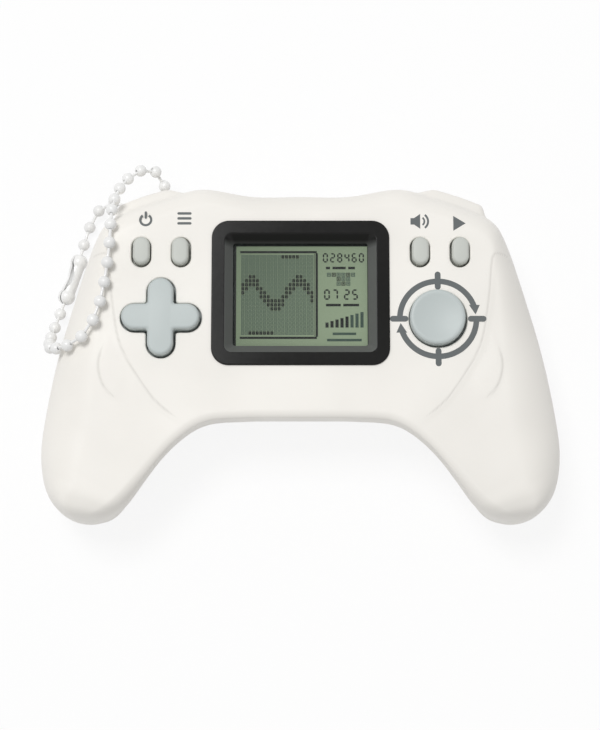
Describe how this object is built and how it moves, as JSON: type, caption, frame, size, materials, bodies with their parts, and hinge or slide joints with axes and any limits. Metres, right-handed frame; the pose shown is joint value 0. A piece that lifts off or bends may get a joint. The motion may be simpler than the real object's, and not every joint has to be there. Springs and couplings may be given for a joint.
{
  "type": "handheld game console",
  "caption": "Gamepad-shaped mini game console with a framed liquid crystal screen, cross pad, round button, small oval buttons, battery door and a ball chain on a lug.",
  "frame": {"origin": "on the flat back that it lies on, in the middle of its width, between the top edge and the grip tips", "axes": "+X to the right as the player sees it, +Y towards the shoulders, +Z out of the screen"},
  "size_m": [0.1027, 0.0735, 0.0249],
  "materials": {
    "shell_white": "fine matte moulded plastic",
    "bezel_black": "polished black plastic",
    "window_clear": "clear plastic",
    "lcd_green": "liquid crystal panel with reflector",
    "zebra_rubber": "layered conductive rubber",
    "pcb_green": "solder mask",
    "resin_black": "cast resin",
    "keypad_rubber": "silicone",
    "button_grey": "satin moulded plastic",
    "screw_steel": "zinc plated",
    "cell_jacket": "plain printed jacket",
    "contact_steel": "nickel plated",
    "buzzer_brass": "plain",
    "chain_white": "white enamel"
  },
  "bodies": {
    "housing": {"front_shell": "shell_white", "back_shell": "shell_white", "screen_bezel": "bezel_black", "screen_window": "window_clear", "lcd_panel": "lcd_green", "zebra_strips": "zebra_rubber", "main_pcb": "pcb_green", "chip_cap": "resin_black", "left_keypad": "keypad_rubber", "right_keypad": "keypad_rubber", "battery_cells": "cell_jacket", "battery_springs": "contact_steel", "battery_contacts": "contact_steel", "buzzer": "buzzer_brass", "case_screws": "screw_steel", "pcb_screws": "screw_steel"},
    "pad_rocker": {"dpad_pivot": "button_grey"},
    "pad": {"dpad_cap": "button_grey"},
    "action": {"action_button": "button_grey"},
    "power": {"power_button": "button_grey"},
    "menu": {"menu_button": "button_grey"},
    "sound": {"sound_button": "button_grey"},
    "play": {"play_button": "button_grey"},
    "door": {"battery_door": "shell_white", "door_screws": "screw_steel"},
    "keychain": {"chain_beads": "chain_white", "chain_links": "chain_white", "chain_connector": "chain_white"}
  },
  "joints": [
    {"name": "pad_tilt_left_right", "type": "hinge", "parent": "housing", "child": "pad_rocker", "pos_m": [-0.0272, 0.0054, 0.019], "axis": [0, 1, 0], "range_deg": [-4, 4], "stiffness_Nm_per_rad": 0.1, "deforming": ["left_keypad"]},
    {"name": "pad_tilt_up_down", "type": "hinge", "parent": "pad_rocker", "child": "pad", "pos_m": [-0.0272, 0.0054, 0.019], "axis": [1, 0, 0], "range_deg": [-4, 4], "stiffness_Nm_per_rad": 0.1, "deforming": ["left_keypad"]},
    {"name": "action_press", "type": "slide", "parent": "housing", "child": "action", "axis": [0, 0, -1], "range_m": [0, 0.0008], "stiffness_N_per_m": 1200, "deforming": ["right_keypad"]},
    {"name": "power_press", "type": "slide", "parent": "housing", "child": "power", "axis": [0, 0, -1], "range_m": [0, 0.0008], "stiffness_N_per_m": 1200, "deforming": ["left_keypad"]},
    {"name": "menu_press", "type": "slide", "parent": "housing", "child": "menu", "axis": [0, 0, -1], "range_m": [0, 0.0008], "stiffness_N_per_m": 1200, "deforming": ["left_keypad"]},
    {"name": "sound_press", "type": "slide", "parent": "housing", "child": "sound", "axis": [0, 0, -1], "range_m": [0, 0.0008], "stiffness_N_per_m": 1200, "deforming": ["right_keypad"]},
    {"name": "play_press", "type": "slide", "parent": "housing", "child": "play", "axis": [0, 0, -1], "range_m": [0, 0.0008], "stiffness_N_per_m": 1200, "deforming": ["right_keypad"]},
    {"name": "door_lift", "type": "slide", "parent": "housing", "child": "door", "axis": [0, 0, -1], "range_m": [0, 0.012]},
    {"name": "keychain_swing", "type": "hinge", "parent": "housing", "child": "keychain", "pos_m": [-0.031, 0.0304, 0.0046], "axis": [-1, 0, 0], "range_deg": [0, 100]}
  ]
}
